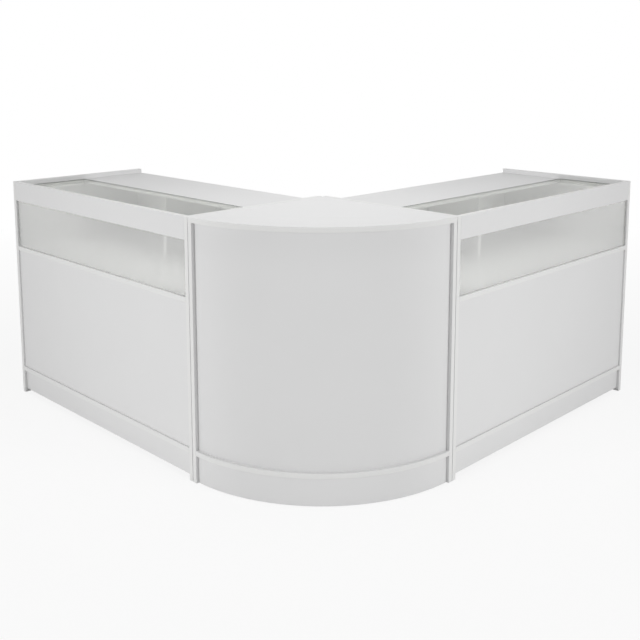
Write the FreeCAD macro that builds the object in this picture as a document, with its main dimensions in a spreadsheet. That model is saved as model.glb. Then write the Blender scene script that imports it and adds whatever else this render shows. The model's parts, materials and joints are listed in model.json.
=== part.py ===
# Shop counter set in white melamine board: two straight half-glass display
# counters at right angles, joined by a quarter-round corner unit.
#
# Frame: millimetres, +Z up, origin on the floor under the middle of the whole
# set. +X runs along the right counter and +Y along the left one. Customers
# stand on the -X and -Y sides, staff stand inside the L.
#
# Each straight counter is laid out in its own terms: u along its length, v from
# its customer front to its staff side, z up from the floor.

import FreeCAD, Part
import math
import os
import re
import Sketcher

from FreeCAD import Placement, Rotation, Vector

SIZES = [
    # The whole set
    ("counter_length", 1200, "length of one straight counter"),
    ("counter_depth", 620, "depth of a straight counter, and the radius of the corner unit"),
    ("counter_height", 915, "floor to the top edges of the end panels"),
    ("joint_gap", 2, "gap between the corner unit and each straight counter"),
    ("overrun", 1, "how far a cut runs past the face it opens"),
    # Boards and feet
    ("board", 18, "thickness of the melamine-faced boards"),
    ("edge_ease", 0.8, "chamfer on the edging of every board"),
    ("glide_height", 3, "thickness of the square nail-on floor glides"),
    ("glide_margin", 1, "edge of a floor glide to the faces of its panel"),
    ("glide_inset", 60, "front or back edge of a panel to the centre of its glide"),
    # Carcase of a straight counter
    ("rail_height", 79, "height of the top rail over the front window"),
    ("top_drop", 18, "worktop and top glass lie this far below the end panels' top edges"),
    ("worktop_front", 325, "counter front to the front edge of the worktop"),
    ("deck_height", 643, "floor to the top face of the display deck"),
    ("base_height", 118, "floor to the top face of the base boards"),
    ("panel_recess", 6, "front panel stands this far behind the board edges"),
    ("plinth_recess", 10, "plinths stand this far behind the board edges"),
    ("plinth_clear", 17, "floor to the underside of a straight plinth"),
    # Glass and what carries it
    ("glass", 6, "thickness of the glass sheets"),
    ("glass_gap", 2, "gap round the top glass"),
    ("glass_recess", 7, "front glass stands this far behind the board edges"),
    ("groove_depth", 6, "depth of the grooves that hold the front glass"),
    ("groove_slack", 0.5, "groove width beyond the glass, and its end play"),
    ("batten", 20, "side of the square battens under the top glass"),
    # Storage below the deck
    ("shelf_height", 362, "floor to the underside of the storage shelves"),
    ("shelf_setback", 40, "staff side to the back edge of shelves and lower divider"),
    ("shelf_slack", 1, "gap round a storage shelf"),
    ("pin_radius", 2.5, "radius of a shelf pin"),
    ("pin_web", 2, "board left between pin holes that face each other"),
    ("pin_reach", 10, "length of a shelf pin under its shelf"),
    ("pin_inset", 60, "shelf edge to the centre of its pins"),
    ("pin_slack", 0.1, "radial gap of a pin in its hole"),
    # Sliding doors on the staff side
    ("door_thickness", 8, "thickness of a sliding door"),
    ("door_overlap", 40, "how far the closed doors pass each other"),
    ("door_end_gap", 1, "closed door to its end panel"),
    ("running_gap", 0.3, "gap under a door's running edge"),
    ("lift_room", 9, "room above a door to lift it out of the lower track"),
    ("track_wall", 2, "wall of the twin-channel tracks"),
    ("track_slack", 0.5, "gap on each side of a door in its channel"),
    ("track_setback", 6, "staff edge of the deck to the tracks"),
    ("upper_track_height", 18, "height of the upper track"),
    ("lower_track_height", 8, "height of the lower track"),
    ("divider_gap", 2, "upper divider to the tracks"),
    ("divider_setback", 10, "front edge of the worktop to the upper divider"),
    # Finger pulls pressed into the doors
    ("pull_length", 60, "length of a finger cup"),
    ("pull_height", 24, "height of a finger cup"),
    ("pull_depth", 6.5, "depth of a finger cup in the door"),
    ("pull_wall", 1.2, "wall of a finger cup"),
    ("pull_rim", 3, "how far the rim spreads round the cup"),
    ("pull_rim_height", 1.2, "how far the rim stands proud of the door"),
    ("pull_ease", 0.4, "chamfer on the edges of the rim"),
    ("pull_inset", 35, "door edge to the cup"),
    ("pull_slack", 0.15, "gap round the cup in its opening"),
    # Screws between the corner unit and the straight counters
    ("screw_radius", 2.5, "radius of a joining screw"),
    ("screw_head_radius", 5, "radius of its head"),
    ("screw_head_height", 3, "height of its head"),
    ("screw_bite", 12, "length of its thread in the corner unit"),
    ("screw_inset", 70, "front, back, deck or base board to a screw"),
    ("screw_slack", 0.1, "radial gap of a screw in its hole"),
    # Corner unit
    ("corner_overhang", 12, "the corner top reaches this far past the curved panel"),
    ("bent_sheet", 8, "thickness of the bent panel and plinth"),
    ("bend_slack", 0.3, "gap round the bent sheets in their grooves"),
    ("bend_web", 6, "board left between the grooves above and below the base board"),
    ("nosing", 3, "chamfer on the front edge of the corner's base board"),
    ("rib_height", 500, "floor to the underside of the rib behind the curved panel"),
]

# Sizes that follow from the ones above, written for the sheet.
HALF_SPAN = "((counter_depth + joint_gap + counter_length) / 2)"
INSIDE = "(counter_length - 2 * board)"
TOP_LEVEL = "(counter_height - top_drop)"
WORKTOP_UNDER = f"({TOP_LEVEL} - board)"
GLASS_SEAT = f"({TOP_LEVEL} - glass)"
DECK_UNDER = "(deck_height - board)"
BASE_UNDER = "(base_height - board)"
GROOVE_WIDTH = "(glass + groove_slack)"
GROOVE_FOOT = "(deck_height - groove_depth)"
RAIL_UNDER = "(counter_height - rail_height)"
FRONT_GLASS_TOP = f"({RAIL_UNDER} + groove_depth - groove_slack)"
BEARER_HEIGHT = "(board - glass)"
PANEL_BACK = "(panel_recess + board)"
SHELF_BACK = "(counter_depth - shelf_setback)"
BAY_LENGTH = f"(({INSIDE} - board) / 2)"
CHANNEL = "(door_thickness + 2 * track_slack)"
TRACK_WIDTH = f"(3 * track_wall + 2 * {CHANNEL})"
TRACK_FRONT = f"(counter_depth - track_setback - {TRACK_WIDTH})"
DOOR_LENGTH = f"(({INSIDE} + door_overlap) / 2 - door_end_gap)"
DOOR_FOOT = "(deck_height + track_wall + running_gap)"
DOOR_HEIGHT = f"({WORKTOP_UNDER} - track_wall - lift_room - {DOOR_FOOT})"
PIN_LEVEL = "(shelf_height - pin_radius)"
PIN_HOLE = "((board - pin_web) / 2)"
PIN_BORE = "(pin_radius + pin_slack)"
SCREW_BORE = "(screw_radius + screw_slack)"
SCREW_SPOTS = [
    ("screw_inset", f"({DECK_UNDER} - screw_inset)"),
    ("(counter_depth - screw_inset)", "(base_height + screw_inset)"),
]
BEND_GROOVE = "((board - bend_web) / 2)"
CURVE_OUTER = "(counter_depth - corner_overhang)"
CURVE_INNER = f"({CURVE_OUTER} - bent_sheet)"
PLINTH_OUTER = "(counter_depth - plinth_recess)"
PLINTH_INNER = f"({PLINTH_OUTER} - bent_sheet)"
CORNER_TOP_UNDER = "(counter_height - board)"

# The end of a straight counter at u = 0, then the far one.
ENDS = {"right": ("inner", "outer"), "left": ("outer", "inner")}
WING_TURN = {"right": Rotation(), "left": Rotation(Vector(0, 0, 1), -90)}
BACKWARDS = Rotation(Vector(0, 0, 1), 180)
ALONG_U = Rotation(Vector(0, 1, 0), 90)
ALONG_V = Rotation(Vector(1, 0, 0), -90)

doc = FreeCAD.newDocument("shop_counter")
sheet = doc.addObject("Spreadsheet::Sheet", "Sizes")
for row, (alias, number, meaning) in enumerate(SIZES, start=1):
    sheet.set(f"A{row}", alias)
    sheet.set(f"B{row}", str(number))
    sheet.set(f"C{row}", meaning)
    sheet.setAlias(f"B{row}", alias)
doc.recompute()

aliases = {alias for alias, number, meaning in SIZES}
pieces = []


# Binding sizes to the sheet

def cells(text):
    """The same formula with every size read from the sheet."""
    return re.sub(r"[a-z_]+", lambda word: f"Sizes.{word[0]}" if word[0] in aliases else word[0], text)


def bind(item, prop, text):
    item.setExpression(prop, cells(text))


def value(text):
    return float(sheet.evalExpression(cells(text)))


def place(item, x, y, z, turn=Rotation()):
    item.Placement = Placement(Vector(), turn)
    bind(item, "Placement.Base.x", x)
    bind(item, "Placement.Base.y", y)
    bind(item, "Placement.Base.z", z)


def place_in_wing(item, side, u, v, z, turn=Rotation()):
    """Put an item at (u, v, z) of the right or the left counter."""
    if side == "right":
        x, y = f"{HALF_SPAN} - counter_length + ({u})", f"({v}) - {HALF_SPAN}"
    else:
        x, y = f"({v}) - {HALF_SPAN}", f"{HALF_SPAN} - ({u})"
    place(item, x, y, z, WING_TURN[side].multiply(turn))


def place_in_corner(item, x, y, z, turn=Rotation()):
    """Put an item at (x, y, z) from the inner corner, where the curve is centred."""
    apex = f"(counter_depth - {HALF_SPAN})"
    place(item, f"{apex} + {x}", f"{apex} + {y}", z, turn)


# Ways of making a piece

def new_body(label):
    body = doc.addObject("PartDesign::Body", label)
    body.Label = label
    return body


def new_sketch(body, lift="0"):
    sketch = body.newObject("Sketcher::SketchObject", f"{body.Name}_sketch")
    plane = next(item for item in body.Origin.OriginFeatures if item.Role == "XY_Plane")
    sketch.AttachmentSupport = [(plane, "")]
    sketch.MapMode = "FlatFace"
    bind(sketch, "AttachmentOffset.Base.z", lift)
    return sketch


def dimension(sketch, name, kind, *ends, size):
    """A named dimension of the sketch, held by a formula on the sheet."""
    number = sketch.addConstraint(Sketcher.Constraint(kind, *ends, value(size)))
    sketch.renameConstraint(number, name)
    bind(sketch, f"Constraints.{name}", size)


def hold_point(sketch, line, x, y):
    """Fix a line's first point at x and y, on an axis where one of them is 0."""
    for name, kind, axis, size in (("across", "DistanceX", -2, x), ("up", "DistanceY", -1, y)):
        if size == "0":
            sketch.addConstraint(Sketcher.Constraint("PointOnObject", line, 1, axis))
        else:
            dimension(sketch, f"{name}_{line}", kind, -1, 1, line, 1, size=size)


def outline(body, points):
    """A closed outline of straight lines through points given as formulas."""
    sketch = new_sketch(body)
    spots = [Vector(value(x), value(y), 0) for x, y in points]
    count = len(points)
    for line in range(count):
        sketch.addGeometry(Part.LineSegment(spots[line], spots[(line + 1) % count]))
    for line in range(count):
        sketch.addConstraint(Sketcher.Constraint("Coincident", line, 2, (line + 1) % count, 1))
    for line, (x, y) in enumerate(points):
        hold_point(sketch, line, x, y)
    return sketch


def quarter(body, radius, margin, lift="0"):
    """A quarter disc about the origin, its straight sides a margin inside the axes."""
    sketch = new_sketch(body, lift)
    reach, inset = value(radius), value(margin)
    swing = math.asin(inset / reach)
    span = reach * math.cos(swing)
    circle = Part.Circle(Vector(), Vector(0, 0, 1), reach)
    sketch.addGeometry(Part.ArcOfCircle(circle, math.pi + swing, 1.5 * math.pi - swing))
    sketch.addGeometry(Part.LineSegment(Vector(-inset, -inset, 0), Vector(-inset, -span, 0)))
    sketch.addGeometry(Part.LineSegment(Vector(-span, -inset, 0), Vector(-inset, -inset, 0)))
    for joint in ((0, 3, -1, 1), (0, 2, 1, 2), (1, 1, 2, 2), (2, 1, 0, 1)):
        sketch.addConstraint(Sketcher.Constraint("Coincident", *joint))
    sketch.addConstraint(Sketcher.Constraint("Vertical", 1))
    sketch.addConstraint(Sketcher.Constraint("Horizontal", 2))
    dimension(sketch, "radius", "Radius", 0, size=radius)
    if margin == "0":
        sketch.addConstraint(Sketcher.Constraint("Coincident", 1, 1, -1, 1))
    else:
        dimension(sketch, "side_margin", "DistanceX", 1, 1, -1, 1, size=margin)
        dimension(sketch, "back_margin", "DistanceY", 1, 1, -1, 1, size=margin)
    return sketch


def quarter_band(body, outer, inner, margin, lift="0"):
    """A quarter of a ring about the origin, cut off a margin inside the axes."""
    sketch = new_sketch(body, lift)
    inset = value(margin)
    spans = []
    for reach in (value(outer), value(inner)):
        swing = math.asin(inset / reach)
        circle = Part.Circle(Vector(), Vector(0, 0, 1), reach)
        sketch.addGeometry(Part.ArcOfCircle(circle, math.pi + swing, 1.5 * math.pi - swing))
        spans.append(reach * math.cos(swing))
    far, near = spans
    sketch.addGeometry(Part.LineSegment(Vector(-inset, -far, 0), Vector(-inset, -near, 0)))
    sketch.addGeometry(Part.LineSegment(Vector(-near, -inset, 0), Vector(-far, -inset, 0)))
    for joint in ((0, 3, -1, 1), (1, 3, -1, 1), (0, 2, 2, 1), (2, 2, 1, 2), (1, 1, 3, 1), (3, 2, 0, 1)):
        sketch.addConstraint(Sketcher.Constraint("Coincident", *joint))
    sketch.addConstraint(Sketcher.Constraint("Vertical", 2))
    sketch.addConstraint(Sketcher.Constraint("Horizontal", 3))
    dimension(sketch, "outer_radius", "Radius", 0, size=outer)
    dimension(sketch, "inner_radius", "Radius", 1, size=inner)
    dimension(sketch, "side_margin", "DistanceX", 2, 1, -1, 1, size=margin)
    dimension(sketch, "back_margin", "DistanceY", 3, 1, -1, 1, size=margin)
    return sketch


def pad(body, sketch, height):
    feature = body.newObject("PartDesign::Pad", f"{body.Name}_pad")
    feature.Profile = sketch
    bind(feature, "Length", height)
    doc.recompute()
    return feature


def ease_edges(body, feature, size="edge_ease"):
    chamfer = body.newObject("PartDesign::Chamfer", f"{body.Name}_eased")
    chamfer.Base = (feature, ["Edge1"])
    chamfer.UseAllEdges = True
    bind(chamfer, "Size", size)


def board_piece(label, along, across, up, ease="edge_ease"):
    """A rectangular board with its edges eased, one corner at its own origin."""
    body = new_body(label)
    sketch = outline(body, [("0", "0"), (along, "0"), (along, across), ("0", across)])
    ease_edges(body, pad(body, sketch, up), ease)
    pieces.append(body)
    return body


def turned_piece(label, points):
    """A turned piece about its own X axis, from points of (distance, radius)."""
    body = new_body(label)
    sketch = outline(body, points)
    feature = body.newObject("PartDesign::Revolution", f"{label}_turned")
    feature.Profile = sketch
    feature.ReferenceAxis = (sketch, ["H_Axis"])
    return body


def cut_box(body, corner, size):
    box = body.newObject("PartDesign::SubtractiveBox", f"{body.Name}_cut")
    for prop, text in zip(("Length", "Width", "Height"), size):
        bind(box, prop, text)
    place(box, *corner)


def drill(body, start, depth, radius, turn):
    hole = body.newObject("PartDesign::SubtractiveCylinder", f"{body.Name}_hole")
    bind(hole, "Radius", radius)
    bind(hole, "Height", depth)
    place(hole, *start, turn)


def groove(body, sketch, upwards):
    """A groove for a bent sheet, cut into the face that holds the sketch."""
    pocket = body.newObject("PartDesign::Pocket", f"{body.Name}_groove")
    pocket.Profile = sketch
    pocket.Reversed = upwards
    bind(pocket, "Length", BEND_GROOVE)


def group(label, bodies):
    """Like fasteners, kept together as separate solids under one name."""
    compound = doc.addObject("Part::Compound", label)
    compound.Label = label
    compound.Links = bodies
    pieces.append(compound)


# Pieces of a straight counter

def end_panel(side, end, far):
    """An upright end, grooved on its inside for the front glass."""
    panel = board_piece(f"{side}_{end}_end_panel", "board", "counter_depth", "counter_height - glide_height")
    inside = "0" if far else "board"
    groove_start = "-overrun" if far else "board - groove_depth"
    foot = f"{GROOVE_FOOT} - glide_height"
    groove_rise = f"{FRONT_GLASS_TOP} + groove_slack - {GROOVE_FOOT}"
    cut_box(panel, (groove_start, "glass_recess", foot),
            ("groove_depth + overrun", GROOVE_WIDTH, groove_rise))
    for v in (f"{PANEL_BACK} + pin_inset", f"{SHELF_BACK} - pin_inset"):
        hole_start = f"{inside} - overrun" if far else f"{inside} - {PIN_HOLE}"
        start = (hole_start, v, f"{PIN_LEVEL} - glide_height")
        drill(panel, start, f"{PIN_HOLE} + overrun", PIN_BORE, ALONG_U)
    if end == "inner":
        for v, z in SCREW_SPOTS:
            drill(panel, ("-overrun", v, f"{z} - glide_height"), "board + 2 * overrun", SCREW_BORE, ALONG_U)
    place_in_wing(panel, side, "counter_length - board" if far else "0", "0", "glide_height")


def front_boards(side):
    """Top rail with its glass groove, front panel and the two plinths, all between the end panels."""
    rail = board_piece(f"{side}_top_rail", INSIDE, "board", "rail_height")
    cut_box(rail, ("-overrun", "glass_recess", "-overrun"),
            (f"{INSIDE} + 2 * overrun", GROOVE_WIDTH, "groove_depth + overrun"))
    place_in_wing(rail, side, "board", "0", RAIL_UNDER)
    front = board_piece(f"{side}_front_panel", INSIDE, "board", f"{DECK_UNDER} - base_height")
    place_in_wing(front, side, "board", "panel_recess", "base_height")
    for name, v in (("front", "plinth_recess"), ("rear", "counter_depth - plinth_recess - board")):
        plinth = board_piece(f"{side}_{name}_plinth", INSIDE, "board", f"{BASE_UNDER} - plinth_clear")
        place_in_wing(plinth, side, "board", v, "plinth_clear")


def decks(side):
    """Display deck with its glass groove, base board and the staff worktop."""
    deck = board_piece(f"{side}_display_deck", INSIDE, "counter_depth", "board")
    cut_box(deck, ("-overrun", "glass_recess", "board - groove_depth"),
            (f"{INSIDE} + 2 * overrun", GROOVE_WIDTH, "groove_depth + overrun"))
    place_in_wing(deck, side, "board", "0", DECK_UNDER)
    base = board_piece(f"{side}_base_board", INSIDE, "counter_depth", "board")
    place_in_wing(base, side, "board", "0", BASE_UNDER)
    worktop = board_piece(f"{side}_worktop", INSIDE, "counter_depth - worktop_front", "board")
    place_in_wing(worktop, side, "board", "worktop_front", WORKTOP_UNDER)


def glazing(side):
    """Front and top glass, with the battens and the worktop's ledge that carry the top."""
    front = board_piece(f"{side}_front_glass", f"{INSIDE} + 2 * groove_depth - 2 * groove_slack",
                        "glass", f"{FRONT_GLASS_TOP} - {GROOVE_FOOT}")
    place_in_wing(front, side, "board - groove_depth + groove_slack",
                  "glass_recess + groove_slack / 2", GROOVE_FOOT)
    top = board_piece(f"{side}_top_glass", f"{INSIDE} - 2 * glass_gap",
                      "worktop_front - board - 2 * glass_gap", "glass")
    place_in_wing(top, side, "board + glass_gap", "board + glass_gap", GLASS_SEAT)
    rail_batten = board_piece(f"{side}_rail_batten", INSIDE, "batten", "batten")
    place_in_wing(rail_batten, side, "board", "board", f"{GLASS_SEAT} - batten")
    bearer = board_piece(f"{side}_glass_bearer", INSIDE, "board", BEARER_HEIGHT)
    place_in_wing(bearer, side, "board", "worktop_front - board", f"{GLASS_SEAT} - {BEARER_HEIGHT}")
    for end, u in zip(ENDS[side], ("board", "counter_length - board - batten")):
        batten = board_piece(f"{side}_{end}_batten", "batten", "worktop_front - 2 * board - batten", "batten")
        place_in_wing(batten, side, u, "board + batten", f"{GLASS_SEAT} - batten")


def dividers_and_shelves(side):
    """Centre dividers above and below the deck, and a storage shelf in each bay."""
    middle = "(counter_length - board) / 2"
    front = "(worktop_front + divider_setback)"
    upper = board_piece(f"{side}_upper_divider", "board", f"{TRACK_FRONT} - divider_gap - {front}",
                        f"{WORKTOP_UNDER} - deck_height")
    place_in_wing(upper, side, middle, front, "deck_height")
    lower = board_piece(f"{side}_lower_divider", "board", f"{SHELF_BACK} - {PANEL_BACK}",
                        f"{DECK_UNDER} - base_height")
    for v in ("pin_inset", f"{SHELF_BACK} - {PANEL_BACK} - pin_inset"):
        for u in ("-overrun", f"board - {PIN_HOLE}"):
            drill(lower, (u, v, f"{PIN_LEVEL} - base_height"), f"{PIN_HOLE} + overrun", PIN_BORE, ALONG_U)
    place_in_wing(lower, side, middle, PANEL_BACK, "base_height")
    for end, u in zip(ENDS[side], ("board", "(counter_length + board) / 2")):
        shelf = board_piece(f"{side}_{end}_shelf", f"{BAY_LENGTH} - 2 * shelf_slack",
                            f"{SHELF_BACK} - {PANEL_BACK} - shelf_slack", "board")
        place_in_wing(shelf, side, f"{u} + shelf_slack", f"{PANEL_BACK} + shelf_slack", "shelf_height")


def track(side, name, height, slot_foot, z):
    """A twin channel between the end panels, one slot for each door."""
    body = new_body(f"{side}_door_track_{name}")
    pad(body, outline(body, [("0", "0"), (INSIDE, "0"), (INSIDE, TRACK_WIDTH), ("0", TRACK_WIDTH)]), height)
    for v in ("track_wall", f"2 * track_wall + {CHANNEL}"):
        cut_box(body, ("-overrun", v, slot_foot),
                (f"{INSIDE} + 2 * overrun", CHANNEL, f"{height} - track_wall + overrun"))
    place_in_wing(body, side, "board", TRACK_FRONT, z)
    pieces.append(body)


def sliding_door(side, end, far):
    """A thin door with a finger pull pressed into its staff face near the end panel."""
    door = board_piece(f"{side}_{end}_door", DOOR_LENGTH, "door_thickness", DOOR_HEIGHT)
    cup_u = f"({DOOR_LENGTH} - pull_inset - pull_length)" if far else "pull_inset"
    cup_z = f"(({DOOR_HEIGHT} - pull_height) / 2)"
    cut_box(door, (f"{cup_u} - pull_slack", "-overrun", f"{cup_z} - pull_slack"),
            ("pull_length + 2 * pull_slack", "door_thickness + 2 * overrun", "pull_height + 2 * pull_slack"))
    door_u = f"counter_length - board - door_end_gap - {DOOR_LENGTH}" if far else "board + door_end_gap"
    door_v = f"{TRACK_FRONT} + track_wall + track_slack"
    if far:
        door_v = f"{door_v} + {CHANNEL} + track_wall"
    place_in_wing(door, side, door_u, door_v, DOOR_FOOT)
    pull = finger_pull(f"{side}_{end}_door_pull")
    place_in_wing(pull, side, f"{door_u} + {cup_u} - pull_rim", f"{door_v} + door_thickness",
                  f"{DOOR_FOOT} + {cup_z} - pull_rim")


def finger_pull(label):
    """A rim on the face of the door round a cup that reaches into it."""
    pull = board_piece(label, "pull_length + 2 * pull_rim", "pull_rim_height",
                       "pull_height + 2 * pull_rim", ease="pull_ease")
    cup = pull.newObject("PartDesign::AdditiveBox", f"{label}_cup")
    for prop, text in zip(("Length", "Width", "Height"), ("pull_length", "pull_depth", "pull_height")):
        bind(cup, prop, text)
    place(cup, "pull_rim", "-pull_depth", "pull_rim")
    hollow = "pull_rim + pull_wall"
    cut_box(pull, (hollow, "pull_wall - pull_depth", hollow),
            ("pull_length - 2 * pull_wall", "pull_depth - pull_wall + pull_rim_height + overrun",
             "pull_height - 2 * pull_wall"))
    return pull


def straight_counter(side):
    for end, far in zip(ENDS[side], (False, True)):
        end_panel(side, end, far)
    front_boards(side)
    decks(side)
    glazing(side)
    dividers_and_shelves(side)
    track(side, "upper", "upper_track_height", "-overrun", f"{WORKTOP_UNDER} - upper_track_height")
    track(side, "lower", "lower_track_height", "track_wall", "deck_height")
    for end, far in zip(ENDS[side], (False, True)):
        sliding_door(side, end, far)


# Pieces of the corner unit

def corner_top():
    """The quarter-round top, grooved underneath for the curved panel."""
    body = new_body("corner_top")
    ease_edges(body, pad(body, quarter(body, "counter_depth", "0"), "board"))
    slot = quarter_band(body, f"{CURVE_OUTER} + bend_slack", f"{CURVE_INNER} - bend_slack", "board")
    groove(body, slot, upwards=True)
    place_in_corner(body, "0", "0", CORNER_TOP_UNDER)
    pieces.append(body)


def corner_side_panels():
    """Two uprights at right angles, drilled where the straight counters are screwed on."""
    height = f"{CORNER_TOP_UNDER} - glide_height"
    right = board_piece("corner_right_side_panel", "board", "counter_depth", height)
    left = board_piece("corner_left_side_panel", "counter_depth - board", "board", height)
    bottom = "board - screw_bite - overrun"
    for depth, level in SCREW_SPOTS:
        z = f"{level} - glide_height"
        drill(right, (bottom, depth, z), "screw_bite + 2 * overrun", SCREW_BORE, ALONG_U)
        drill(left, (depth, bottom, z), "screw_bite + 2 * overrun", SCREW_BORE, ALONG_V)
    place_in_corner(right, "-board", "-counter_depth", "glide_height")
    place_in_corner(left, "-counter_depth", "-board", "glide_height")


def corner_base_board():
    """The quarter-round base, its front edge chamfered, grooved above and below."""
    body = new_body("corner_base_board")
    slab = pad(body, quarter(body, "counter_depth", "board"), "board")
    arcs = [f"Edge{number}" for number, edge in enumerate(slab.Shape.Edges, start=1)
            if isinstance(edge.Curve, Part.Circle)]
    front_edge = body.newObject("PartDesign::Chamfer", "corner_base_nosing")
    front_edge.Base = (slab, arcs)
    bind(front_edge, "Size", "nosing")
    panel_slot = quarter_band(body, f"{CURVE_OUTER} + bend_slack", f"{CURVE_INNER} - bend_slack",
                              "board", lift="board")
    groove(body, panel_slot, upwards=False)
    plinth_slot = quarter_band(body, f"{PLINTH_OUTER} + bend_slack", f"{PLINTH_INNER} - bend_slack", "board")
    groove(body, plinth_slot, upwards=True)
    place_in_corner(body, "0", "0", BASE_UNDER)
    pieces.append(body)


def bent_piece(label, outer, inner, foot, head):
    """A thin bent sheet between the side panels, its edges in the grooves."""
    body = new_body(label)
    pad(body, quarter_band(body, outer, inner, "board"), f"{head} - {foot}")
    place_in_corner(body, "0", "0", foot)
    pieces.append(body)


def corner_rib():
    """The quarter-round rib that keeps the curved panel to its curve."""
    body = new_body("corner_rib")
    ease_edges(body, pad(body, quarter(body, f"{CURVE_INNER} - bend_slack", "board"), "board"))
    place_in_corner(body, "0", "0", "rib_height")
    pieces.append(body)


def corner_unit():
    corner_top()
    corner_side_panels()
    bent_piece("corner_curved_panel", CURVE_OUTER, CURVE_INNER,
               f"(base_height - {BEND_GROOVE})", f"({CORNER_TOP_UNDER} + {BEND_GROOVE})")
    corner_base_board()
    bent_piece("corner_curved_plinth", PLINTH_OUTER, PLINTH_INNER,
               "glide_height", f"({BASE_UNDER} + {BEND_GROOVE})")
    corner_rib()


# Fasteners and feet, each kind in one group

def shelf_pins():
    pins = []
    bays = (("board", "(counter_length - board) / 2"),
            ("(counter_length + board) / 2", "counter_length - board"))
    for side in ENDS:
        for start, finish in bays:
            for v in (f"{PANEL_BACK} + pin_inset", f"{SHELF_BACK} - pin_inset"):
                for u in (f"{start} - {PIN_HOLE}", f"{finish} - pin_reach"):
                    pin = doc.addObject("Part::Cylinder", "shelf_pin")
                    bind(pin, "Radius", "pin_radius")
                    bind(pin, "Height", f"{PIN_HOLE} + pin_reach")
                    place_in_wing(pin, side, u, v, PIN_LEVEL, ALONG_U)
                    pins.append(pin)
    group("shelf_pins", pins)


def floor_glide():
    """A square pad, its corner at the origin."""
    glide = doc.addObject("Part::Box", "floor_glide")
    bind(glide, "Length", "board - 2 * glide_margin")
    bind(glide, "Width", "board - 2 * glide_margin")
    bind(glide, "Height", "glide_height")
    return glide


def floor_glides():
    glides = []
    insets = ("glide_inset", "counter_depth - glide_inset")
    for inset in insets:
        along = f"{inset} - board / 2 + glide_margin"
        for u in ("glide_margin", "counter_length - board + glide_margin"):
            for side in ENDS:
                glides.append(floor_glide())
                place_in_wing(glides[-1], side, u, along, "0")
        glides.append(floor_glide())
        place_in_corner(glides[-1], "glide_margin - board", f"{along} - counter_depth", "0")
        glides.append(floor_glide())
        place_in_corner(glides[-1], f"{along} - counter_depth", "glide_margin - board", "0")
    group("floor_glides", glides)


def joining_screws():
    """Screws from inside each straight counter into the corner unit beside it."""
    shank = "(board + joint_gap + screw_bite)"
    screws = []
    for side, u, turn in (("right", "board", Rotation()), ("left", "counter_length - board", BACKWARDS)):
        for v, z in SCREW_SPOTS:
            screw = turned_piece("joining_screw", [
                ("0", "0"),
                (f"{shank} + screw_head_height", "0"),
                (f"{shank} + screw_head_height", "screw_head_radius - screw_head_height / 2"),
                (shank, "screw_head_radius"),
                (shank, "screw_radius"),
                ("0", "screw_radius"),
            ])
            tip = f"{u} - {shank}" if side == "right" else f"{u} + {shank}"
            place_in_wing(screw, side, tip, v, z, turn)
            screws.append(screw)
    group("joining_screws", screws)


def check_features():
    """Stop if anything failed, is not a valid solid, or cut nothing."""
    for item in doc.Objects:
        if {"Invalid", "Error"} & set(item.State):
            raise RuntimeError(f"{item.Name} failed: {item.State}")
        if item.TypeId.startswith(("PartDesign::Subtractive", "PartDesign::Pocket")):
            if item.Shape.Volume >= item.BaseFeature.Shape.Volume:
                raise RuntimeError(f"{item.Name} cuts nothing")
    for piece in pieces:
        if piece.Shape.isNull() or not piece.Shape.isValid() or not piece.Shape.Solids:
            raise RuntimeError(f"{piece.Label} has no valid solid")


def write_pieces():
    os.makedirs("parts", exist_ok=True)
    for piece in pieces:
        piece.Shape.exportStep(f"parts/{piece.Label}.step")
    whole = Part.makeCompound([piece.Shape for piece in pieces])
    box = whole.optimalBoundingBox()
    print(f"{len(pieces)} nodes, {len(whole.Solids)} solids")
    print(f"box {box.XLength:.1f} by {box.YLength:.1f} by {box.ZLength:.1f}, lowest at {box.ZMin:.1f}")


for side in ENDS:
    straight_counter(side)
corner_unit()
shelf_pins()
floor_glides()
joining_screws()
doc.recompute()
check_features()
write_pieces()
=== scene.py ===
# %% [markdown]
# # Dressing a white shop counter set
# The set stands in an L: two straight half-glass display counters, with a quarter-round corner unit between
# them. Its construction comes packed from CAD as a fixed frame, in metres, and nothing in it is moved here.
# This lesson gives each board, sheet of glass and fitting its finish, and swaps the few nodes that need a
# smoother or finer shape for meshes of its own.

# %% Load the construction
import json
import math

import bmesh
import bpy
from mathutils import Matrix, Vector


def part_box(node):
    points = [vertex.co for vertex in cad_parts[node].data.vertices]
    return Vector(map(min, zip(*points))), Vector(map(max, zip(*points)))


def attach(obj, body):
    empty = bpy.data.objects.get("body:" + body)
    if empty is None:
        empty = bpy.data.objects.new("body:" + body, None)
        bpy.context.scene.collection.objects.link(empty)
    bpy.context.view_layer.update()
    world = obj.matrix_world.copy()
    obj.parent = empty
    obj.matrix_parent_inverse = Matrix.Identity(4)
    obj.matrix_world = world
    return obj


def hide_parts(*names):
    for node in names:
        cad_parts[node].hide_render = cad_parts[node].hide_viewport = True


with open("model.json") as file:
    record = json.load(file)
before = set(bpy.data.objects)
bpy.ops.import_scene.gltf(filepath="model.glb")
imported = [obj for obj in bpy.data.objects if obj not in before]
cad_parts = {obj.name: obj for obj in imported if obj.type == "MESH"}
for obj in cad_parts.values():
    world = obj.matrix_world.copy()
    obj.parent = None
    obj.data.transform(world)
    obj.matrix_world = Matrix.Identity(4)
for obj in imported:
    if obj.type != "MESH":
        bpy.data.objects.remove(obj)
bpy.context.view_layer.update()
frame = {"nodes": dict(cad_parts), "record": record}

MM = 0.001
record = frame["record"]

# %% [markdown]
# ## The camera
# The photograph was taken from in front of the corner, a little above the counter, with the uprights almost
# parallel. That is a lens shifted downwards rather than tilted: a plain tilt would pull the uprights
# together. The numbers come from fitting the corners of the set to where the photograph shows them.

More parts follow.
